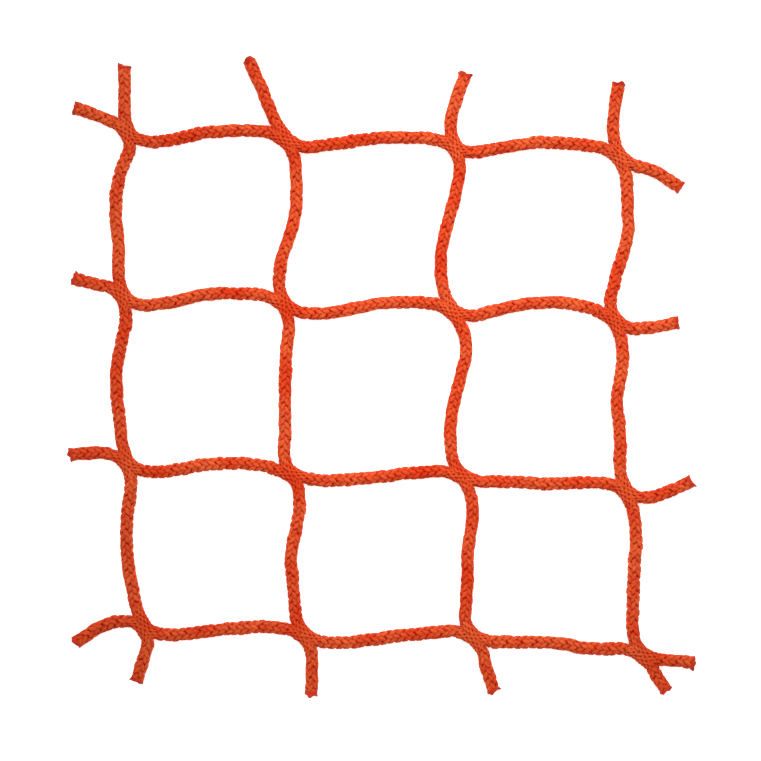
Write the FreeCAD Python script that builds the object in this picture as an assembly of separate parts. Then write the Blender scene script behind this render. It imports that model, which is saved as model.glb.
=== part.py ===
import FreeCAD, Part
import math
import os

# A piece of knotless square-mesh netting, braided from one kind of cord and lying flat.
# +X runs along the rows, +Y up the columns, and Z is up from the surface it lies on.
# Eight cords run through it in steps from the upper left to the lower right. Where a row
# meets a column, two cords lie side by side along a short diagonal, with their strands
# braided into each other, and then part again: neither cord crosses the other.

CORD_D = 7.6
CORD_R = CORD_D / 2
CORD_Z = CORD_R            # height of every centreline, with the cords resting on Z = 0
JOINT_SPACING = 2.7        # between the two centrelines where they are braided together
ARC_SHARE = 0.45           # how much of the shorter run an arc takes up
SEAL_LENGTH = 3.0          # solid melted plastic at each cut end
SEAL_ROUND = 0.9
FOLD_X = (-104.0, -6.0, 96.0)   # the lines, along Y, that the net folds at
FOLD_GAP = 0.3             # between the ball end on one strip and the flat end on the next
TRIM_LENGTH = 60.0
TRIM_DEPTH = 20.0
NET_CENTRE = (0.1, 0.0)    # middle of the net's outline on the drawing below

# Drawing of the net, in millimetres. A joint is where its two cords come in and where they
# go out: the row and column meet at the first point and leave from the second.
JOINTS = {
    (1, 1): ((-156.5, 152), (-151, 142)),
    (1, 2): ((-63, 148), (-53, 138)),
    (1, 3): ((40.5, 143), (48, 134.5)),
    (1, 4): ((140, 138), (148, 127.5)),
    (2, 1): ((-160.5, 54), (-153.5, 42.5)),
    (2, 2): ((-63, 48), (-55.5, 38.5)),
    (2, 3): ((38.5, 43.5), (47.5, 35)),
    (2, 4): ((137, 38.5), (145, 28.5)),
    (3, 1): ((-157.5, -48), (-151, -58)),
    (3, 2): ((-60, -56), (-50.5, -62.5)),
    (3, 3): ((43, -57), (53.5, -64.5)),
    (3, 4): ((143.5, -64.5), (152, -75)),
    (4, 1): ((-148, -147), (-141, -157)),
    (4, 2): ((-52, -153), (-43, -161)),
    (4, 3): ((49, -153.5), (60.5, -161.5)),
    (4, 4): ((152, -164.5), (162, -172)),
}
# Points along each row between joint (row, n) and the next, from left to right.
ROW_LEGS = {
    (1, 1): [(-131.5, 142), (-107.5, 148), (-84, 149)],
    (1, 2): [(-31.5, 140), (-8.5, 144), (16, 145)],
    (1, 3): [(68.5, 137.5), (91.5, 142), (115.5, 141)],
    (2, 1): [(-131.5, 43.5), (-107.5, 50), (-84, 50.5)],
    (2, 2): [(-31.5, 37.5), (-7.5, 43.5), (16, 45.5)],
    (2, 3): [(67.5, 39.5), (91.5, 45), (115.5, 44.5)],
    (3, 1): [(-129.5, -58), (-106, -53), (-83, -52.5)],
    (3, 2): [(-28.5, -63.5), (-5.5, -61.5), (19, -58.5)],
    (3, 3): [(74.5, -63.5), (97.5, -65.5), (121, -64.5)],
    (4, 1): [(-119.5, -156.5), (-97, -153.5), (-74.5, -151.5)],
    (4, 2): [(-20.5, -162), (3.5, -158), (26, -156)],
    (4, 3): [(83.5, -161), (106, -161.5), (129, -166)],
}
# Points along each column between joint (n, column) and the next, from top to bottom.
COLUMN_LEGS = {
    (1, 1): [(-160, 122), (-162, 99.5), (-159, 76.5)],
    (2, 1): [(-158, 20.5), (-162, -2.5), (-159, -25.5)],
    (3, 1): [(-154, -79.5), (-155.5, -102.5), (-152, -125.5)],
    (1, 2): [(-51.5, 117.5), (-52.5, 93.5), (-61.5, 71.5)],
    (2, 2): [(-58, 17), (-59, -7.5), (-58.5, -31.5)],
    (3, 2): [(-49.5, -83.5), (-56, -106.5), (-53.5, -129.5)],
    (1, 3): [(45.5, 112.5), (38.5, 89.5), (34.5, 66.5)],
    (2, 3): [(52.5, 16), (45.5, -7.5), (40.5, -31.5)],
    (3, 3): [(55.5, -86), (51.5, -106.5), (52, -129.5)],
    (1, 4): [(149, 105), (149.5, 83.5), (141.5, 61)],
    (2, 4): [(146.5, 8.5), (141.5, -14.5), (145, -37.5)],
    (3, 4): [(154.5, -96.5), (152.5, -119.5), (152, -142.5)],
}
# The loose ends, each from its cut end to the last point before the joint.
LEFT_TAILS = {
    1: [(-186.5, 162.5), (-172, 158)],
    2: [(-187, 59.5), (-174.5, 55.5)],
    3: [(-189, -47.5), (-174, -46)],
    4: [(-185.5, -161.5), (-171, -150.5)],
}
TOP_TAILS = {
    1: [(-156, 188), (-156, 171)],
    2: [(-80.5, 191.5), (-71.5, 171)],
    3: [(50.5, 183), (43, 164)],
    4: [(143.5, 177.5), (140, 158.5)],
}
RIGHT_TAILS = {
    1: [(181, 114), (166.5, 125)],
    2: [(179.5, 32.5), (163.5, 29)],
    3: [(187.5, -63.5), (171, -72)],
    4: [(189, -174), (176.5, -172)],
}
BOTTOM_TAILS = {
    1: [(-149, -185), (-144.5, -172)],
    2: [(-43, -192.5), (-42, -178)],
    3: [(68, -191), (63, -177)],
    4: [(172.5, -190.5), (166.5, -182)],
}


def net_point(x, y):
    """A point of the drawing, at the height of the centrelines."""
    return FreeCAD.Vector(x - NET_CENTRE[0], y - NET_CENTRE[1], CORD_Z)


def unit(vector):
    return vector / vector.Length


def joint_shift(joint):
    """How far each cord's corners stand along its own leg, which sets the two side by side."""
    (in_x, in_y), (out_x, out_y) = JOINTS[joint]
    band = math.hypot(out_x - in_x, out_y - in_y)
    across_row = (in_y - out_y) / band
    across_column = (out_x - in_x) / band
    half = JOINT_SPACING / 2
    return half / across_row, half / across_column


def row_to_column(joint):
    """The two corners of the cord that comes along the row and leaves down the column."""
    (in_x, in_y), (out_x, out_y) = JOINTS[joint]
    shift_x, shift_y = joint_shift(joint)
    return [(in_x - shift_x, in_y), (out_x, out_y - shift_y)]


def column_to_row(joint):
    """The two corners of the cord that comes down the column and leaves along the row."""
    (in_x, in_y), (out_x, out_y) = JOINTS[joint]
    shift_x, shift_y = joint_shift(joint)
    return [(in_x, in_y + shift_y), (out_x + shift_x, out_y)]


def stepped_route(row, column, goes_down, start):
    """One cord's points from its first cut end, and the joints it passes on each side."""
    points, lower_joints, upper_joints = list(start), [], []
    while row <= 4 and column <= 4:
        joint = (row, column)
        if goes_down:
            points += row_to_column(joint)
            lower_joints.append(joint)
            points += COLUMN_LEGS.get(joint, [])
            row += 1
        else:
            points += column_to_row(joint)
            upper_joints.append(joint)
            points += ROW_LEGS.get(joint, [])
            column += 1
        goes_down = not goes_down
    end = BOTTOM_TAILS[column] if row > 4 else RIGHT_TAILS[row]
    points += end[::-1]
    return [net_point(x, y) for x, y in points], lower_joints, upper_joints


def all_cords():
    """Every cord of the net by name, with its route and joints."""
    cords = {}
    for row in (1, 2, 3, 4):
        cords[f"left_cord_{row}"] = stepped_route(row, 1, True, LEFT_TAILS[row])
    for column in (1, 2, 3, 4):
        cords[f"top_cord_{column}"] = stepped_route(1, column, False, TOP_TAILS[column])
    return cords


def braided_stretch(points):
    """The route without the solid plastic at its two ends."""
    first = points[0] + unit(points[1] - points[0]) * SEAL_LENGTH
    last = points[-1] + unit(points[-2] - points[-1]) * SEAL_LENGTH
    return [first] + points[1:-1] + [last]


def rounded_path(name, points):
    """Straight runs joined by tangent arcs, as edges in order."""
    edges, radii, start = [], [], points[0]
    for before, corner, after in zip(points, points[1:], points[2:]):
        run_in, run_out = corner - before, after - corner
        half_turn = run_in.getAngle(run_out) / 2
        tangent = ARC_SHARE * min(run_in.Length, run_out.Length)
        radius = tangent / math.tan(half_turn)
        radii.append(radius)
        arc_start = corner - unit(run_in) * tangent
        arc_end = corner + unit(run_out) * tangent
        inward = unit(unit(run_out) - unit(run_in))
        arc_middle = corner + inward * radius * (1 / math.cos(half_turn) - 1)
        edges.append(Part.LineSegment(start, arc_start).toShape())
        edges.append(Part.Arc(arc_start, arc_middle, arc_end).toShape())
        start = arc_end
    edges.append(Part.LineSegment(start, points[-1]).toShape())
    print(name, "arc radii", " ".join(f"{radius:.0f}" for radius in radii))
    return edges


def split_at(edges, x):
    """The edges before and after the place where the path goes past x."""
    plane = Part.makePlane(CORD_D, 2 * TRIM_LENGTH)
    for index, edge in enumerate(edges):
        first, last = edge.ParameterRange
        start, end = edge.valueAt(first), edge.valueAt(last)
        if start.x < x <= end.x:
            corner = FreeCAD.Vector(x, start.y - TRIM_LENGTH, 0)
            plane.Placement = FreeCAD.Placement(
                corner, FreeCAD.Rotation(FreeCAD.Vector(0, 1, 0), -90)
            )
            crossing = edge.distToShape(plane)[1][0][0]
            middle = edge.Curve.parameter(crossing)
            before = edges[:index] + [edge.Curve.toShape(first, middle)]
            after = [edge.Curve.toShape(middle, last)] + edges[index + 1:]
            return before, after
    raise ValueError(f"no edge goes past {x}")


def tube(edges):
    """A round cord along the edges, and its centreline's length."""
    pieces = []
    for edge in edges:
        first, last = edge.ParameterRange
        start, heading = edge.valueAt(first), edge.tangentAt(first)
        if isinstance(edge.Curve, Part.Circle):
            section = Part.Face(Part.Wire(Part.makeCircle(CORD_R, start, heading)))
            turn = math.degrees(last - first)
            pieces.append(section.revolve(edge.Curve.Center, edge.Curve.Axis, turn))
        else:
            pieces.append(Part.makeCylinder(CORD_R, edge.Length, start, heading))
    solid = pieces[0].multiFuse(pieces[1:]) if len(pieces) > 1 else pieces[0]
    return solid.Solids[0], sum(edge.Length for edge in edges)


def ball_end(edges):
    """The half ball about the fold line that a strip's cord starts with."""
    first = edges[0].ParameterRange[0]
    centre, heading = edges[0].valueAt(first), edges[0].tangentAt(first)
    return Part.makeSphere(CORD_R, centre, heading * -1, 0, 90, 360)


def joint_trim(joint, sign):
    """A block whose near face is the joint's middle plane, over the other cord's side."""
    (in_x, in_y), (out_x, out_y) = JOINTS[joint]
    start, end = net_point(in_x, in_y), net_point(out_x, out_y)
    along = unit(end - start)
    heading = math.degrees(math.atan2(along.y, along.x))
    block = Part.makeBox(
        TRIM_LENGTH, TRIM_DEPTH, 2 * CORD_D,
        FreeCAD.Vector(-TRIM_LENGTH / 2, 0 if sign > 0 else -TRIM_DEPTH, -CORD_D),
    )
    middle = (start + end) / 2
    block.Placement = FreeCAD.Placement(
        middle, FreeCAD.Rotation(FreeCAD.Vector(0, 0, 1), heading)
    ).multiply(block.Placement)
    return block


def strip_of(x):
    """The strip of the net, 1 to 4, that a place along X lies in."""
    return 1 + sum(x > fold for fold in FOLD_X)


def cord_strips(name, route):
    """The lengths of one cord, strip by strip, as solids by node name."""
    points, lower_joints, upper_joints = route
    rest = rounded_path(name, braided_stretch(points))
    lengths = {}
    for fold in (x for x in FOLD_X if points[0].x < x < points[-1].x):
        before, rest = split_at(rest, fold)
        lengths[strip_of(fold - 1)] = split_at(before, fold - CORD_R - FOLD_GAP)[0]
    lengths[strip_of(points[-1].x)] = rest
    solids = {}
    for strip, edges in lengths.items():
        solid, length = tube(edges)
        ratio = solid.Volume / (math.pi * CORD_R ** 2 * length)
        print(f"{name} strip {strip}: {length:.1f} mm, volume ratio {ratio:.4f}")
        if strip > min(lengths):
            solid = solid.fuse(ball_end(edges))
        for joint in lower_joints:
            if joint[1] == strip:
                solid = solid.cut(joint_trim(joint, 1))
        for joint in upper_joints:
            if joint[1] == strip:
                solid = solid.cut(joint_trim(joint, -1))
        solids[f"{name}_strip_{strip}"] = solid.Solids[0]
    return solids


def sealed_end(tip, inner):
    """The melted plug at a cut end, with its rim rounded over."""
    outward = unit(tip - inner)
    plug = Part.makeCylinder(CORD_R, SEAL_LENGTH, tip - outward * SEAL_LENGTH, outward)
    rim = [
        edge for edge in plug.Edges
        if isinstance(edge.Curve, Part.Circle) and edge.Curve.Center.isEqual(tip, 0.01)
    ]
    return plug.makeFillet(SEAL_ROUND, rim)


def sealed_ends(cords):
    """The melted plugs of all cords, in one group for each strip."""
    groups = {}
    for points, _, _ in cords.values():
        for tip, inner in ((points[0], points[1]), (points[-1], points[-2])):
            groups.setdefault(strip_of(tip.x), []).append(sealed_end(tip, inner))
    return {
        f"sealed_ends_strip_{strip}": Part.makeCompound(plugs)
        for strip, plugs in groups.items()
    }


def main():
    cords = all_cords()
    nodes = {}
    for name, route in cords.items():
        nodes.update(cord_strips(name, route))
    nodes.update(sealed_ends(cords))
    os.makedirs("parts", exist_ok=True)
    for node, shape in nodes.items():
        shape.exportStep(f"parts/{node}.step")
        print(node, "valid" if shape.isValid() else "INVALID", len(shape.Solids), "solid(s)")
    box = Part.makeCompound(list(nodes.values())).BoundBox
    print(f"box X {box.XMin:.2f} {box.XMax:.2f} Y {box.YMin:.2f} {box.YMax:.2f}"
          f" Z {box.ZMin:.2f} {box.ZMax:.2f}")


main()
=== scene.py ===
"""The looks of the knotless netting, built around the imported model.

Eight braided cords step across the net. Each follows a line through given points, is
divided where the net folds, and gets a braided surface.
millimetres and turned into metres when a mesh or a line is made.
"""
import math

import bpy
import numpy as np
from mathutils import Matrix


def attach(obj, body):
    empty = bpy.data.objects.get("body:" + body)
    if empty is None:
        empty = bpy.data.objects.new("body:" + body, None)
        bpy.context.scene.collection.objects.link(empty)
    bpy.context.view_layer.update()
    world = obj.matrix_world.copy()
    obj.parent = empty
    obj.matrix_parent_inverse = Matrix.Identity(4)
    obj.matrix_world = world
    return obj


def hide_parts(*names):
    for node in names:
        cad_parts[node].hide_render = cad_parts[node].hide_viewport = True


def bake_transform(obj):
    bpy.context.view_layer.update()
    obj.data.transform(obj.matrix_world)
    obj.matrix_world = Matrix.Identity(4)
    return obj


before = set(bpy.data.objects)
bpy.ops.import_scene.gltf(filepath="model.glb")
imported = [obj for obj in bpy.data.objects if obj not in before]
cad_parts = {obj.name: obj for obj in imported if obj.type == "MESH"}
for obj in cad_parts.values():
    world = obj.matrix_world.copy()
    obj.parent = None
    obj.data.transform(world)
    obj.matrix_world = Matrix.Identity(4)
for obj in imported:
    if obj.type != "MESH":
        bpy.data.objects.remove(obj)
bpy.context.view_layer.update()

MM = 0.001
CORD_D = 7.6
CORD_R = CORD_D / 2
CORD_Z = CORD_R
JOINT_SPACING = 2.7
SEAL_LENGTH = 3.0
FOLD_X = (-104.0, -6.0, 96.0)
FOLD_BEFORE, FOLD_AFTER = 10.0, 22.0   # before and after a fold line; the cords are divided at the first distance before it
NET_CENTRE = (0.1, 0.0)

# Drawing of the net, in millimetres. Each joint has two points. Its row and its column come in
# at the first and go out from the second.
JOINTS = {
    (1, 1): ((-156.5, 152), (-151, 142)),
    (1, 2): ((-63, 148), (-53, 138)),
    (1, 3): ((40.5, 143), (48, 134.5)),
    (1, 4): ((140, 138), (148, 127.5)),
    (2, 1): ((-160.5, 54), (-153.5, 42.5)),
    (2, 2): ((-63, 48), (-55.5, 38.5)),
    (2, 3): ((38.5, 43.5), (47.5, 35)),
    (2, 4): ((137, 38.5), (145, 28.5)),
    (3, 1): ((-157.5, -48), (-151, -58)),
    (3, 2): ((-60, -56), (-50.5, -62.5)),
    (3, 3): ((43, -57), (53.5, -64.5)),
    (3, 4): ((143.5, -64.5), (152, -75)),
    (4, 1): ((-148, -147), (-141, -157)),
    (4, 2): ((-52, -153), (-43, -161)),
    (4, 3): ((49, -153.5), (60.5, -161.5)),
    (4, 4): ((152, -164.5), (162, -172)),
}
# Points along each row between joint (row, n) and the next, from left to right.
ROW_LEGS = {
    (1, 1): [(-131.5, 142), (-107.5, 148), (-84, 149)],
    (1, 2): [(-31.5, 140), (-8.5, 144), (16, 145)],
    (1, 3): [(68.5, 137.5), (91.5, 142), (115.5, 141)],
    (2, 1): [(-131.5, 43.5), (-107.5, 50), (-84, 50.5)],
    (2, 2): [(-31.5, 37.5), (-7.5, 43.5), (16, 45.5)],
    (2, 3): [(67.5, 39.5), (91.5, 45), (115.5, 44.5)],
    (3, 1): [(-129.5, -58), (-106, -53), (-83, -52.5)],
    (3, 2): [(-28.5, -63.5), (-5.5, -61.5), (19, -58.5)],
    (3, 3): [(74.5, -63.5), (97.5, -65.5), (121, -64.5)],
    (4, 1): [(-119.5, -156.5), (-97, -153.5), (-74.5, -151.5)],
    (4, 2): [(-20.5, -162), (3.5, -158), (26, -156)],
    (4, 3): [(83.5, -161), (106, -161.5), (129, -166)],
}
# Points along each column between joint (n, column) and the next, from top to bottom.
COLUMN_LEGS = {
    (1, 1): [(-160, 122), (-162, 99.5), (-159, 76.5)],
    (2, 1): [(-158, 20.5), (-162, -2.5), (-159, -25.5)],
    (3, 1): [(-154, -79.5), (-155.5, -102.5), (-152, -125.5)],
    (1, 2): [(-51.5, 117.5), (-52.5, 93.5), (-61.5, 71.5)],
    (2, 2): [(-58, 17), (-59, -7.5), (-58.5, -31.5)],
    (3, 2): [(-49.5, -83.5), (-56, -106.5), (-53.5, -129.5)],
    (1, 3): [(45.5, 112.5), (38.5, 89.5), (34.5, 66.5)],
    (2, 3): [(52.5, 16), (45.5, -7.5), (40.5, -31.5)],
    (3, 3): [(55.5, -86), (51.5, -106.5), (52, -129.5)],
    (1, 4): [(149, 105), (149.5, 83.5), (141.5, 61)],
    (2, 4): [(146.5, 8.5), (141.5, -14.5), (145, -37.5)],
    (3, 4): [(154.5, -96.5), (152.5, -119.5), (152, -142.5)],
}
# The loose ends, each from its cut end to the last point before the joint.
LEFT_TAILS = {
    1: [(-186.5, 162.5), (-172, 158)],
    2: [(-187, 59.5), (-174.5, 55.5)],
    3: [(-189, -47.5), (-174, -46)],
    4: [(-185.5, -161.5), (-171, -150.5)],
}
TOP_TAILS = {
    1: [(-156, 188), (-156, 171)],
    2: [(-80.5, 191.5), (-71.5, 171)],
    3: [(50.5, 183), (43, 164)],
    4: [(143.5, 177.5), (140, 158.5)],
}
RIGHT_TAILS = {
    1: [(181, 114), (166.5, 125)],
    2: [(179.5, 32.5), (163.5, 29)],
    3: [(187.5, -63.5), (171, -72)],
    4: [(189, -174), (176.5, -172)],
}
BOTTOM_TAILS = {
    1: [(-149, -185), (-144.5, -172)],
    2: [(-43, -192.5), (-42, -178)],
    3: [(68, -191), (63, -177)],
    4: [(172.5, -190.5), (166.5, -182)],
}

# The braid: eight strands, four each way round, each over one and under one. The stretch where
# a strand lies over another is a float.
STRANDS_EACH_WAY = 4
LAY = 17.8                 # length of one full turn of a strand
STRAND_STEP = LAY / STRANDS_EACH_WAY
LAY_PER_RADIAN = LAY / (2 * math.pi)
SLOPE_RADIUS = CORD_R - 0.5
STRAND_SLOPE = math.sin(math.atan2(SLOPE_RADIUS, LAY_PER_RADIAN))
STRAND_HALF_WIDTH = 1.25   # where it dives under another
STRAND_SPREAD = 0.5        # how much wider than that a float is
SPREAD_POWER = 0.7
STRAND_THICKNESS = 1.38
STRAND_RADIUS = 2.41       # of a strand's middle, halfway between over and under
STRAND_WEAVE = 0.42        # how far it goes out and in from there
STRAND_PAIRING = 0.12      # every second strand lies this much closer to one neighbour
STRAND_STRAY = 0.24        # how far a float may lie from its place
STRAND_UNEVEN = 0.18       # share by which a float may be thicker or thinner
YARN_SHARE = 0.27          # how much a strand's profile shows the two yarns it is made of
YARN_HALF_WIDTH = 0.54     # of one yarn, where the strand's own is 1
YARN_TONE = 0.5            # how much a strand's two yarns differ in colour
THREAD_RUN = (0.8, 0.6)    # how fast the threads' pattern goes by, along the cord and round it
TURN_IN_COLUMN, TURN_IN_ROW = math.radians(-112), math.radians(-82)   # about the cord

# The joints: a finer plain weave whose strands lean 31 degrees from the diagonal.
WEAVE_ALONG, WEAVE_ACROSS = 2.35, 1.4   # from one crossing to the next
WEAVE_PITCH = 2 * WEAVE_ALONG * WEAVE_ACROSS / math.hypot(WEAVE_ALONG, WEAVE_ACROSS)
WEAVE_HALF_WIDTH = 1.12
WEAVE_THICKNESS = 1.25
WEAVE_RADIUS = 2.55
WEAVE_DEPTH = 0.3
WEAVE_STRAY = 0.1
WEAVE_UNEVEN = 0.12
WEAVE_RUN = 2.7            # length of strand between two crossings
CREASE_FILL = 0.32         # how far the weave bridges the crease between the two cords
CREASE_REACH = 1.3
WEAVE_FULL, WEAVE_END = 6.0, 13.5   # from the joint's middle, along the cord
SINK = 1.8                 # how far one pattern drops where the other takes over
SINK_FROM = 0.3            # the other pattern's share where it starts to drop
NOWHERE = -9.0             # height that a pattern has where it isn't laid
PROFILE_POWER = 0.75       # 0.5 is an ellipse, 1 a parabola

# What makes each float a little different: thickness, tone and place, each from -1 to 1.
FLOAT_TABLE = (997, 3)
WEAVE_ROWS = 7             # how many rows of the table one strand of the weave moves on
WEAVE_FIRST_ROW = 400
# Slow changes along a cord: their size, and the lengths of the waves they are made of.
ROUTE_WANDER = 0.3, (13, 19, 31)
TURN_WANDER = 0.35, (83, 151)
GIRTH_WANDER = 0.055, (7, 11, 23, 47)

# The cut ends, where the braid runs into melted plastic.
MELT_FROM, MELT_FULL = -0.5, 2.6   # from the seal's edge towards the cut
MELT_SMOOTHING = 0.55      # share of the braid's relief that is gone at the cut
MELT_RADIUS = CORD_R - 0.1
HORN_WIDTH = 0.42
HORN_FLARE = 0.45
FACE_RINGS = (0.9, 0.7, 0.45, 0.2)   # of the face that closes an end, as shares of its edge
FACE_BUMPS = 0.22
FACE_DOME = 0.3

# Painted shade: the colour goes deeper in the crevices, which start this high and are this deep.
CREVICE_TOP = CORD_R + 0.2
CREVICE_DEPTH = 1.4
MELT_IN_CREVICE = 0.5      # share of the painted crevice shade that melted plastic takes away

RINGS_STEP = 0.34
AROUND = 80
HEADING_REACH = 3          # rings on each side that a ring's heading is measured over
LINE_RESOLUTION = 24
FLOOR_GAP, END_FLOOR_GAP = 0.03, 0.02   # the lowest that a cord and an end reach
SEED = 41

# Colours, as linear red, green and blue.
FIBRE_DARK, FIBRE_LIGHT = (0.54, 0.028, 0.0035), (0.72, 0.08, 0.015)
FIBRE_STREAK = (0.77, 0.152, 0.048)
FIBRE_FADED = (0.64, 0.04, 0.006)
# painted shade: the colour that the crevices between strands are darkened towards
FIBRE_PAINTED_SHADE = (0.36, 0.001, 0.0)
MELTED_DARK, MELTED_LIGHT = (0.46, 0.02, 0.006), (0.62, 0.055, 0.018)
SCORCHED = (0.3, 0.008, 0.006)
THREAD_SCALES = {"run": 0.35, "offset": 4.5, "tone": 20.0}


def smoothstep(x, start, end):
    t = np.clip((x - start) / (end - start), 0, 1)
    return t * t * (3 - 2 * t)


# ---- the cords' routes ----


def joint_shift(joint):
    """How far each cord's corners stand along its own leg, which sets the two side by side."""
    (in_x, in_y), (out_x, out_y) = JOINTS[joint]
    band = math.hypot(out_x - in_x, out_y - in_y)
    half = JOINT_SPACING / 2
    return half * band / (in_y - out_y), half * band / (out_x - in_x)


def stepped_route(row, column, goes_down, start):
    """One cord's points from its first cut end, and its joints with the side it is on."""
    points, passed = list(start), []
    while row <= 4 and column <= 4:
        joint = (row, column)
        (in_x, in_y), (out_x, out_y) = JOINTS[joint]
        shift_x, shift_y = joint_shift(joint)
        if goes_down:
            points += [(in_x - shift_x, in_y), (out_x, out_y - shift_y)]
            points += COLUMN_LEGS.get(joint, [])
            row += 1
        else:
            points += [(in_x, in_y + shift_y), (out_x + shift_x, out_y)]
            points += ROW_LEGS.get(joint, [])
            column += 1
        passed.append((joint, -1 if goes_down else 1))
        goes_down = not goes_down
    end = BOTTOM_TAILS[column] if row > 4 else RIGHT_TAILS[row]
    return np.array(points + end[::-1]) - NET_CENTRE, passed


def smooth_line(name, points):
    """Points close together along the spline that the route's points control."""
    curve = bpy.data.curves.new(f"{name}_line", "CURVE")
    curve.dimensions = "3D"
    curve.resolution_u = LINE_RESOLUTION
    spline = curve.splines.new("NURBS")
    spline.points.add(len(points) - 1)
    for control, (x, y) in zip(spline.points, points):
        control.co = (x * MM, y * MM, CORD_Z * MM, 1)
    spline.order_u = 3
    spline.use_endpoint_u = True
    holder = bpy.data.objects.new(f"{name}_line", curve)
    mesh = bpy.data.meshes.new_from_object(holder)
    line = np.array([vertex.co[:2] for vertex in mesh.vertices]) / MM
    bpy.data.objects.remove(holder)
    bpy.data.curves.remove(curve)
    bpy.data.meshes.remove(mesh)
    return line


def ring_places(line):
    """Evenly spaced centres along a line, with their headings and distances."""
    steps = np.linalg.norm(np.diff(line, axis=0), axis=1)
    line = line[np.r_[True, steps > 1e-6]]
    along = np.r_[0, np.cumsum(np.linalg.norm(np.diff(line, axis=0), axis=1))]
    count = int(round(along[-1] / RINGS_STEP)) + 1
    distance = np.linspace(0, along[-1], count)
    centre = np.stack([np.interp(distance, along, line[:, k]) for k in (0, 1)], 1)
    ahead = np.minimum(np.arange(count) + HEADING_REACH, count - 1)
    behind = np.maximum(np.arange(count) - HEADING_REACH, 0)
    heading = centre[ahead] - centre[behind]
    heading /= np.linalg.norm(heading, axis=1)[:, None]
    return distance, centre, heading


# ---- the braid ----


def slow_waves(random, distance, size, lengths):
    """A small wander along a cord, made of a few waves."""
    phases = random.uniform(0, 2 * math.pi, len(lengths))
    waves = [np.sin(2 * math.pi * distance / length + p) for length, p in zip(lengths, phases)]
    return size * sum(waves) / len(lengths)


def rounded(offset, half_width):
    """A strand's profile: 1 along its middle and 0 at its edges."""
    return np.clip(1 - (offset / half_width) ** 2, 0, 1) ** PROFILE_POWER


def two_yarns(offset, half_width):
    """The profile of a strand whose two yarns lie side by side, with a groove between."""
    yarn = rounded(np.abs(offset) - half_width / 2, half_width * YARN_HALF_WIDTH)
    return (1 - YARN_SHARE) * rounded(offset, half_width) + YARN_SHARE * yarn


def strand_family(way, distance, angle, table):
    """The strands that turn one way round: height, place along and across a strand, and tone."""
    count = (distance - way * LAY_PER_RADIAN * angle) / STRAND_STEP
    index = np.round(count)
    top_angle = 0.0 if way > 0 else math.pi / STRANDS_EACH_WAY
    column = np.round((angle - top_angle) * STRANDS_EACH_WAY / (2 * math.pi))
    float_angle = top_angle + column * 2 * math.pi / STRANDS_EACH_WAY
    float_place = way * LAY_PER_RADIAN * float_angle / STRAND_STEP + index
    pick = np.mod(column, STRANDS_EACH_WAY) + STRANDS_EACH_WAY * np.round(2 * float_place)
    own = table[pick.astype(int) % len(table)]
    paired = np.where(np.mod(index, 2) < 0.5, STRAND_PAIRING, -STRAND_PAIRING)
    offset = (count - index) * STRAND_STEP * STRAND_SLOPE + paired + STRAND_STRAY * own[..., 2]
    on_top = np.cos(STRANDS_EACH_WAY * (angle - top_angle))
    middle = STRAND_RADIUS + STRAND_WEAVE * on_top
    half_width = STRAND_HALF_WIDTH + STRAND_SPREAD * np.clip(on_top, 0, 1) ** SPREAD_POWER
    thickness = STRAND_THICKNESS * (1 + STRAND_UNEVEN * own[..., 0])
    height = middle + thickness * two_yarns(offset, half_width)
    tone = own[..., 1] + YARN_TONE * np.sign(offset) * own[..., 0]
    run = distance * THREAD_RUN[0] + way * angle * CORD_R * THREAD_RUN[1]
    return height, run, offset, tone


def weave_family(way, along, across, table):
    """One family of a joint's plain weave, described as strand_family describes the braid."""
    own_count = (along / WEAVE_ALONG - way * across / WEAVE_ACROSS) / 2
    other_count = (along / WEAVE_ALONG + way * across / WEAVE_ACROSS) / 2
    index = np.round(own_count)
    sign = np.where(np.mod(index, 2) < 0.5, 1, -1) * way
    pick = index * WEAVE_ROWS + np.round(other_count) + WEAVE_FIRST_ROW
    own = table[pick.astype(int) % len(table)]
    offset = (own_count - index) * WEAVE_PITCH + WEAVE_STRAY * own[..., 2]
    middle = WEAVE_RADIUS + WEAVE_DEPTH * np.cos(math.pi * other_count) * sign
    thickness = WEAVE_THICKNESS * (1 + WEAVE_UNEVEN * own[..., 0])
    height = middle + thickness * rounded(offset, WEAVE_HALF_WIDTH)
    return height, other_count * WEAVE_RUN, offset, own[..., 1]


def highest(families):
    """The family on top at each place."""
    heights = np.stack([family[0] for family in families])
    best = np.argmax(heights, axis=0)[None]
    return [np.take_along_axis(np.stack(part), best, 0)[0] for part in zip(*families)]


def joint_frame(joint):
    """A joint's middle, and the directions along and across its diagonal."""
    start, end = (np.array(point) - NET_CENTRE for point in JOINTS[joint])
    along = (end - start) / np.linalg.norm(end - start)
    return (start + end) / 2, along, np.array([-along[1], along[0]])


def joint_weave(side, middle, along, centre, left, angle, table):
    """Both families of a joint's weave on the half that one cord makes."""
    outward = np.mod(side * (math.pi / 2 - angle) + math.pi / 2, 2 * math.pi) - math.pi / 2
    inner = math.asin(JOINT_SPACING / 2 / CORD_R)
    across = side * CORD_R * (outward + inner)
    base = centre[:, None] + left[:, None] * (CORD_R * np.cos(angle))[..., None]
    weave = [weave_family(way, (base - middle) @ along, across, table) for way in (1, -1)]
    under = CORD_R * (math.pi + 2 * inner)
    for crease in (np.abs(across), under - np.abs(across)):
        fill = CREASE_FILL * np.exp(-((crease / CREASE_REACH) ** 2))
        weave = [(part[0] + fill, *part[1:]) for part in weave]
    return weave


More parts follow.
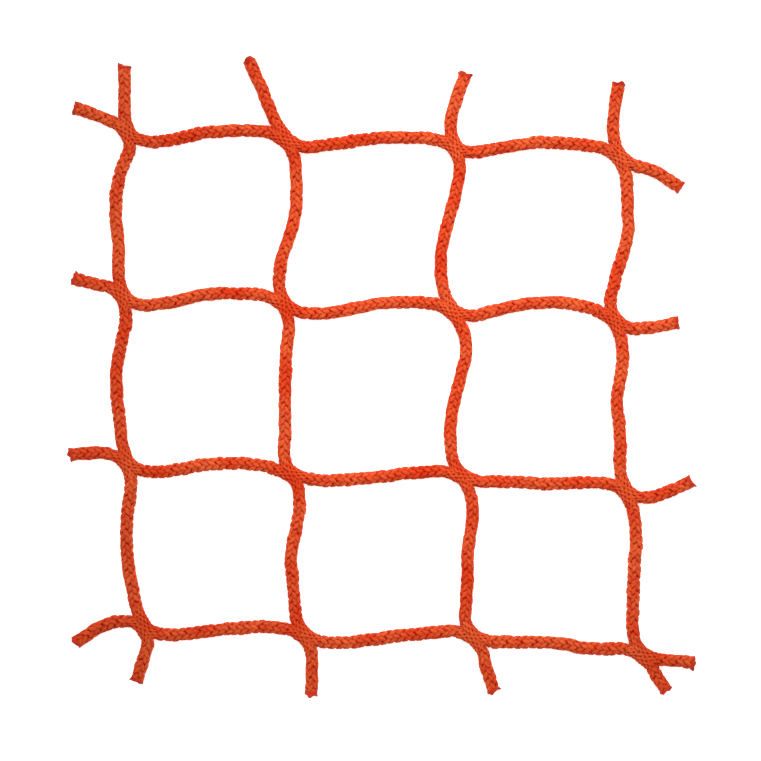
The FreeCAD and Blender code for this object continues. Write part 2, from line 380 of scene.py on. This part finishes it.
def add_joint_weave(families, weave, share, rows):
    """Drops the leg's strands below the joint's on some rows, and the joint's where it ends."""
    for family in families[:2]:
        family[0][rows] -= SINK * smoothstep(share, SINK_FROM, 1)
    for part in weave:
        grids = [np.full_like(families[0][0], fill) for fill in (NOWHERE, 0, 0, 0)]
        for grid, values in zip(grids, part):
            grid[rows] = values
        grids[0][rows] -= SINK * smoothstep(1 - share, SINK_FROM, 1)
        families.append(grids)


def end_crown(random, angle):
    """How far a melted end reaches out and how much it flares, round the cord."""
    phase = random.uniform(0, 2 * math.pi, 6)
    slant = random.uniform(0.3, 1.0)
    reach = slant * np.cos(angle - phase[0]) + 0.3 * np.sin(3 * angle + phase[1])
    reach += 0.22 * np.sin(7 * angle + phase[2])
    flare = 0.55 + 0.35 * np.sin(2 * angle + phase[3]) + 0.2 * np.sin(5 * angle + phase[4])
    for place in phase[5] + np.cumsum(random.uniform(1.3, 2.6, 2)):
        away = np.mod(angle - place + math.pi, 2 * math.pi) - math.pi
        horn = np.exp(-((away / HORN_WIDTH) ** 2)) * random.uniform(0.6, 1.7)
        reach = reach + horn
        flare = flare + HORN_FLARE * horn
    return reach - 0.3, flare


def flattened(flat, joint, side):
    """Keeps a cord on its own side of a joint's diagonal, as far as the other cord reaches."""
    middle, along, across = joint_frame(joint)
    past = np.abs((flat - middle) @ along) - math.dist(*JOINTS[joint]) / 2
    room = CORD_D * np.clip(past / CORD_D, 0, 4)
    beyond = np.maximum(-(flat - middle) @ across * side - room, 0)
    return flat + (beyond * side * (past < 2 * CORD_D))[..., None] * across


def braid_turn(distance, centre, passed):
    """How far the braid is turned about its cord. It turns over at each joint."""
    along_row = np.full(len(distance), 1.0 if passed[0][1] < 0 else 0.0)
    for joint, side in passed:
        nearest = np.argmin(np.linalg.norm(centre - joint_frame(joint)[0], axis=1))
        away = distance - distance[nearest]
        along_row += side * smoothstep(away, -WEAVE_FULL, WEAVE_FULL)
    return TURN_IN_COLUMN + (TURN_IN_ROW - TURN_IN_COLUMN) * along_row


def end_shapes(random, distance, angle, past):
    """What both melted ends add to a cord: outwards from its line, and along it."""
    flares, reaches = np.zeros_like(past), np.zeros_like(past)
    for end in (0, 1):
        reach, flare = end_crown(random, angle)
        rows = np.where((distance > distance[-1] / 2) == bool(end))[0]
        share = np.clip(past[rows] / SEAL_LENGTH, 0, 1)
        flares[rows] = flare * share ** 2
        reaches[rows] = reach * share ** 1.5 * (1 if end else -1)
    return flares, reaches


def braided_surface(line, passed, random):
    """Rings of points round one cord, and what its material needs to know at each."""
    distance, centre, heading = ring_places(line)
    left = np.stack([-heading[:, 1], heading[:, 0]], 1)
    centre = centre + left * slow_waves(random, distance, *ROUTE_WANDER)[:, None]
    angle = np.arange(AROUND) * 2 * math.pi / AROUND
    s, a = np.meshgrid(distance, angle, indexing="ij")
    table = random.uniform(-1, 1, FLOAT_TABLE)
    turn = braid_turn(distance, centre, passed) + slow_waves(random, distance, *TURN_WANDER)
    families = [strand_family(way, s, a + turn[:, None], table) for way in (1, -1)]
    girth = 1 + slow_waves(random, distance, *GIRTH_WANDER)[:, None]
    for joint, side in passed:
        middle, along, _ = joint_frame(joint)
        nearest = np.argmin(np.linalg.norm(centre - middle, axis=1))
        away = np.abs(distance - distance[nearest])
        rows = away < WEAVE_END
        share = 1 - smoothstep(away[rows], WEAVE_FULL, WEAVE_END)[:, None]
        weave = joint_weave(side, middle, along, centre[rows], left[rows], a[rows], table)
        add_joint_weave(families, weave, share, rows)
    height, run, offset, tone = highest(families)
    past = SEAL_LENGTH - np.minimum(s, distance[-1] - s)
    melt = smoothstep(past, MELT_FROM, MELT_FULL)
    # painted shade: how far each place lies in a crevice, less on melted plastic
    crevice_shade = np.clip((CREVICE_TOP - height) / CREVICE_DEPTH, 0, 1) * (1 - MELT_IN_CREVICE * melt)
    height = height * girth * (1 - MELT_SMOOTHING * melt) + MELT_RADIUS * MELT_SMOOTHING * melt
    flares, reaches = end_shapes(random, distance, angle, past)
    height += flares
    flat = centre[:, None] + left[:, None] * (height * np.cos(a))[..., None]
    flat = flat + heading[:, None] * reaches[..., None]
    z = np.maximum(CORD_Z + height * np.sin(a), FLOOR_GAP)
    for joint, side in passed:
        flat = flattened(flat, joint, side)
    points = np.concatenate([flat, z[..., None]], 2)
    facts = {"run": run, "offset": offset, "tone": tone, "crevice_shade": crevice_shade, "melt": melt}
    return distance, centre, points, facts


def surface_normals(points):
    """The outward direction at each point of rings of points."""
    along = np.gradient(points, axis=0)
    around = np.roll(points, -1, axis=1) - np.roll(points, 1, axis=1)
    normals = np.cross(around, along)
    return normals / np.maximum(np.linalg.norm(normals, axis=2), 1e-9)[..., None]


def add_piece(name, points, normals, faces, facts):
    """A mesh piece from points in millimetres, with one value of each fact at each point.

    The last two faces are its caps. On those, and where a normal is zero, Blender works the
    normal out by itself.
    """
    mesh = bpy.data.meshes.new(name)
    sizes = [len(face) for face in faces]
    mesh.vertices.add(len(points))
    mesh.vertices.foreach_set("co", (points * MM).ravel())
    mesh.loops.add(sum(sizes))
    mesh.loops.foreach_set("vertex_index", np.concatenate(faces).astype(np.int32))
    mesh.polygons.add(len(faces))
    mesh.polygons.foreach_set("loop_start", np.r_[0, np.cumsum(sizes)[:-1]].astype(np.int32))
    mesh.polygons.foreach_set("use_smooth", [size == 4 for size in sizes])
    mesh.update(calc_edges=True)
    for key, values in facts.items():
        layer = mesh.attributes.new(key, "FLOAT", "POINT")
        layer.data.foreach_set("value", values.ravel().astype(np.float32))
    sides = normals[np.concatenate(faces[:-2])]
    mesh.normals_split_custom_set(np.concatenate([sides, np.zeros((2 * AROUND, 3))]))
    piece = bpy.data.objects.new(name, mesh)
    bpy.context.collection.objects.link(piece)
    return piece


def ring_faces(count, around):
    """Quads between rings of points, with a flat cap on each end."""
    ring, spoke = np.meshgrid(np.arange(count - 1), np.arange(around), indexing="ij")
    after = (spoke + 1) % around
    quads = np.stack([
        ring * around + spoke, ring * around + after,
        (ring + 1) * around + after, (ring + 1) * around + spoke,
    ], -1).reshape(-1, 4)
    start, finish = np.arange(around)[::-1], (count - 1) * around + np.arange(around)
    return list(quads) + [start, finish], ring, spoke


def tube_piece(name, points, normals, facts, first, last):
    """The rings from first to last as a closed piece, with a map laid along and round it."""
    rings, own_normals = points[first:last + 1], normals[first:last + 1]
    faces, ring, spoke = ring_faces(len(rings), AROUND)
    own_facts = {key: values[first:last + 1] for key, values in facts.items()}
    piece = add_piece(name, rings.reshape(-1, 3), own_normals.reshape(-1, 3), faces, own_facts)
    u = (ring[..., None] + np.array([0, 0, 1, 1])) / (len(rings) - 1)
    v = (spoke[..., None] + np.array([0, 1, 1, 0])) / AROUND
    uv = np.concatenate([np.stack([u, v], -1).reshape(-1, 2), np.zeros((2 * AROUND, 2))])
    layer = piece.data.uv_layers.new(name="OFBake")
    layer.data.foreach_set("uv", uv.ravel().astype(np.float32))
    return piece


def end_piece(name, points, normals, facts, at_start, random):
    """A melted end: the last rings of a cord, closed by a bumpy face."""
    reach = int(round(SEAL_LENGTH / RINGS_STEP))
    picked = slice(reach, None, -1) if at_start else slice(-1 - reach, None)
    rings, own_normals = points[picked], normals[picked]
    own_facts = {key: values[picked] for key, values in facts.items()}
    if at_start:
        rings, own_normals = rings[:, ::-1], own_normals[:, ::-1]
        own_facts = {key: values[:, ::-1] for key, values in own_facts.items()}
    edge, middle = rings[-1], rings[-1].mean(axis=0)
    outward = (middle - rings[0].mean(axis=0)) / SEAL_LENGTH
    face = []
    for share in FACE_RINGS:
        bumps = random.uniform(-FACE_BUMPS, FACE_BUMPS, (AROUND // 4, 1)).repeat(4, axis=0)
        bumps = (bumps + np.roll(bumps, 2, axis=0) + np.roll(bumps, 4, axis=0)) / 3
        rise = bumps + FACE_DOME * (1 - share)
        face.append(middle + (edge - middle) * share + outward * rise)
    rings = np.concatenate([rings, face])
    own_normals = np.concatenate([own_normals[:-1], np.zeros((1 + len(face), AROUND, 3))])
    own_facts = {key: np.concatenate([values] + [values[-1:]] * len(face))
                 for key, values in own_facts.items()}
    rings[..., 2] = np.maximum(rings[..., 2], END_FLOOR_GAP)
    faces = ring_faces(len(rings), AROUND)[0]
    return add_piece(name, rings.reshape(-1, 3), own_normals.reshape(-1, 3), faces, own_facts)


# ---- materials ----


def new_material(name):
    material = bpy.data.materials.new(name)
    material.use_nodes = True
    tree = material.node_tree
    shader = tree.nodes["Principled BSDF"]
    return material, tree, shader


def attribute(tree, name):
    node = tree.nodes.new("ShaderNodeAttribute")
    node.attribute_name = name
    return node.outputs["Fac"]


def maths(tree, operation, *values):
    node = tree.nodes.new("ShaderNodeMath")
    node.operation = operation
    for socket, value in zip(node.inputs, values):
        if isinstance(value, (int, float)):
            socket.default_value = value
        else:
            tree.links.new(value, socket)
    return node.outputs[0]


def mixed_colour(tree, share, first, second):
    node = tree.nodes.new("ShaderNodeMix")
    node.data_type = "RGBA"
    for key, value in (("Factor", share), ("A", first), ("B", second)):
        socket = next(i for i in node.inputs if i.name == key and i.enabled)
        if isinstance(value, tuple):
            socket.default_value = (*value, 1)
        else:
            tree.links.new(value, socket)
    return next(o for o in node.outputs if o.enabled)


def noise(tree, vector, scale, detail=2.0):
    node = tree.nodes.new("ShaderNodeTexNoise")
    node.inputs["Scale"].default_value = scale
    node.inputs["Detail"].default_value = detail
    if vector is not None:
        tree.links.new(vector, node.inputs["Vector"])
    return node.outputs["Fac"]


def remapped(tree, value, low, high):
    node = tree.nodes.new("ShaderNodeMapRange")
    node.inputs["From Min"].default_value = low
    node.inputs["From Max"].default_value = high
    tree.links.new(value, node.inputs["Value"])
    return node.outputs["Result"]


def fibre_look(tree):
    """Colour, roughness and relief of the fibre: fine threads along each strand, with painted
    shade in the crevices.
    """
    threads = tree.nodes.new("ShaderNodeCombineXYZ")
    for socket, (name, scale) in zip(threads.inputs, THREAD_SCALES.items()):
        tree.links.new(maths(tree, "MULTIPLY", attribute(tree, name), scale), socket)
    fibre = noise(tree, threads.outputs[0], 1.0, 3.0)
    place = tree.nodes.new("ShaderNodeTexCoord").outputs["Object"]
    fade = noise(tree, place, 45.0)
    tone = remapped(tree, attribute(tree, "tone"), -1, 1)
    body = mixed_colour(tree, tone, FIBRE_DARK, FIBRE_LIGHT)
    streaked = mixed_colour(tree, remapped(tree, fibre, 0.35, 0.7), body, FIBRE_STREAK)
    faded = mixed_colour(tree, remapped(tree, fade, 0.4, 0.75), streaked, FIBRE_FADED)
    # painted shade: the colour goes towards a deep red in the crevices
    shade_share = remapped(tree, attribute(tree, "crevice_shade"), 0.05, 0.7)
    coloured = mixed_colour(tree, maths(tree, "MULTIPLY", shade_share, 0.96), faded, FIBRE_PAINTED_SHADE)
    roughness = maths(tree, "MULTIPLY_ADD", fibre, 0.2, 0.55)
    return coloured, roughness, fibre


def melted_look(tree):
    """Colour, roughness and relief of plastic that melted and set, scorched in places."""
    place = tree.nodes.new("ShaderNodeTexCoord").outputs["Object"]
    lumps = noise(tree, place, 420.0, 3.0)
    body = mixed_colour(tree, lumps, MELTED_DARK, MELTED_LIGHT)
    burnt = remapped(tree, noise(tree, place, 190.0), 0.5, 0.7)
    coloured = mixed_colour(tree, maths(tree, "MULTIPLY", burnt, 0.6), body, SCORCHED)
    roughness = maths(tree, "MULTIPLY_ADD", lumps, 0.3, 0.35)
    return coloured, roughness, lumps


def finish_material(tree, shader, colour, roughness, relief):
    tree.links.new(colour, shader.inputs["Base Color"])
    tree.links.new(roughness, shader.inputs["Roughness"])
    bump = tree.nodes.new("ShaderNodeBump")
    bump.inputs["Strength"].default_value = 0.5
    bump.inputs["Distance"].default_value = 0.00025
    tree.links.new(relief, bump.inputs["Height"])
    tree.links.new(bump.outputs["Normal"], shader.inputs["Normal"])
    shader.inputs["Specular IOR Level"].default_value = 0.05


def braided_material():
    """Orange polypropylene fibre, with painted shade darkening it between the strands."""
    material, tree, shader = new_material("braided_polypropylene")
    finish_material(tree, shader, *fibre_look(tree))
    return material


def sealed_material():
    """The same fibre where it runs into plastic that a hot knife melted."""
    material, tree, shader = new_material("melted_polypropylene")
    fibre = fibre_look(tree)[0]
    melted, roughness, lumps = melted_look(tree)
    ragged = maths(tree, "MULTIPLY_ADD", lumps, 0.6, attribute(tree, "melt"))
    colour = mixed_colour(tree, remapped(tree, ragged, 0.45, 0.85), fibre, melted)
    finish_material(tree, shader, colour, roughness, lumps)
    return material


def floor_material():
    material, _, shader = new_material("white_floor")
    shader.inputs["Base Color"].default_value = (0.9, 0.9, 0.9, 1)
    shader.inputs["Emission Color"].default_value = (1, 1, 1, 1)
    shader.inputs["Emission Strength"].default_value = 0.7
    shader.inputs["Roughness"].default_value = 0.9
    shader.inputs["Specular IOR Level"].default_value = 0.1
    return material


# ---- camera, floor and light ----


def make_camera():
    """Straight above the net, where a long lens takes in the net and a white margin."""
    view_width, lens = 461.2, 85.0
    look_at = (-1.0, -2.7)
    data = bpy.data.cameras.new("camera")
    data.lens = lens
    data.sensor_width = 36.0
    camera = bpy.data.objects.new("camera", data)
    height = view_width * lens / data.sensor_width + CORD_Z
    camera.location = (look_at[0] * MM, look_at[1] * MM, height * MM)
    bpy.context.collection.objects.link(camera)
    bpy.context.scene.camera = camera


def make_floor():
    bpy.ops.mesh.primitive_plane_add(size=40.0, location=(0, 0, 0))
    floor = bpy.context.object
    floor.name = "floor"
    floor.data.materials.append(floor_material())


def make_light(name, aim, azimuth, elevation, size, spread, power):
    """A square soft light that is brightest at the place it points at, in metres.

    Azimuth 0 is at +X, and 90 at +Y.
    """
    reach = 1.6
    data = bpy.data.lights.new(name, "AREA")
    data.size = size
    data.spread = math.radians(spread)
    data.energy = power
    light = bpy.data.objects.new(name, data)
    a, e = math.radians(azimuth), math.radians(elevation)
    light.location = (aim[0] + reach * math.cos(e) * math.cos(a),
                      aim[1] + reach * math.cos(e) * math.sin(a), reach * math.sin(e))
    light.rotation_euler = (math.pi / 2 - e, 0, a + math.pi / 2)
    bpy.context.collection.objects.link(light)


def make_world(strength):
    world = bpy.data.worlds.new("studio")
    world.use_nodes = True
    world.node_tree.nodes["Background"].inputs["Color"].default_value = (1, 1, 1, 1)
    world.node_tree.nodes["Background"].inputs["Strength"].default_value = strength
    bpy.context.scene.world = world
    bpy.context.scene.view_settings.view_transform = "Standard"


# ---- putting it together ----


def strip_of(x):
    return 1 + sum(x > fold - NET_CENTRE[0] for fold in FOLD_X)


def add_ends(name, centre, points, normals, facts, random, material):
    """The melted plastic at a cord's two cut ends."""
    ends = []
    for at_start, at in ((True, "start"), (False, "finish")):
        end = end_piece(f"{name}_{at}", points, normals, facts, at_start, random)
        strip = strip_of(centre[0 if at_start else -1][0])
        end.data.materials.append(material)
        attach(end, f"strip_{strip}")
        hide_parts(f"sealed_ends_strip_{strip}")
        ends.append(end)
    return ends


def add_cord(name, route, passed, random, cord_material, end_material):
    """One whole cord as a piece for each strip that it crosses, with its melted ends."""
    line = smooth_line(name, route)
    distance, centre, points, facts = braided_surface(line, passed, random)
    normals = surface_normals(points)
    ends = add_ends(name, centre, points, normals, facts, random, end_material)
    bends = [x - NET_CENTRE[0] - FOLD_BEFORE for x in FOLD_X]
    seams = [int(np.argmax(centre[:, 0] > x)) for x in bends
             if centre[0, 0] < x < centre[-1, 0]]
    sealed = int(round(SEAL_LENGTH / RINGS_STEP))
    bounds = [sealed] + seams + [len(centre) - 1 - sealed]
    first_strip = strip_of(centre[0][0])
    for number, (first, last) in enumerate(zip(bounds, bounds[1:])):
        strip = first_strip + number
        node = f"{name}_strip_{strip}"
        piece = tube_piece(f"{node}_braid", points, normals, facts, first, last)
        piece.data.materials.append(cord_material)
        if number:
            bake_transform(piece)
        else:
            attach(piece, f"strip_{strip}")
        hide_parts(node)
        on_it = ends[:1] if number == 0 else []
        on_it += ends[1:] if last == bounds[-1] else []


def main():
    make_camera()
    cord_material, end_material = braided_material(), sealed_material()
    random = np.random.default_rng(SEED)
    for row in (1, 2, 3, 4):
        route, passed = stepped_route(row, 1, True, LEFT_TAILS[row])
        add_cord(f"left_cord_{row}", route, passed, random, cord_material, end_material)
    for column in (1, 2, 3, 4):
        route, passed = stepped_route(1, column, False, TOP_TAILS[column])
        add_cord(f"top_cord_{column}", route, passed, random, cord_material, end_material)
    make_floor()
    make_light("key", aim=(0.045, 0.055), azimuth=92, elevation=58, size=0.45, spread=26,
               power=0.85)
    make_world(0.57)


main()
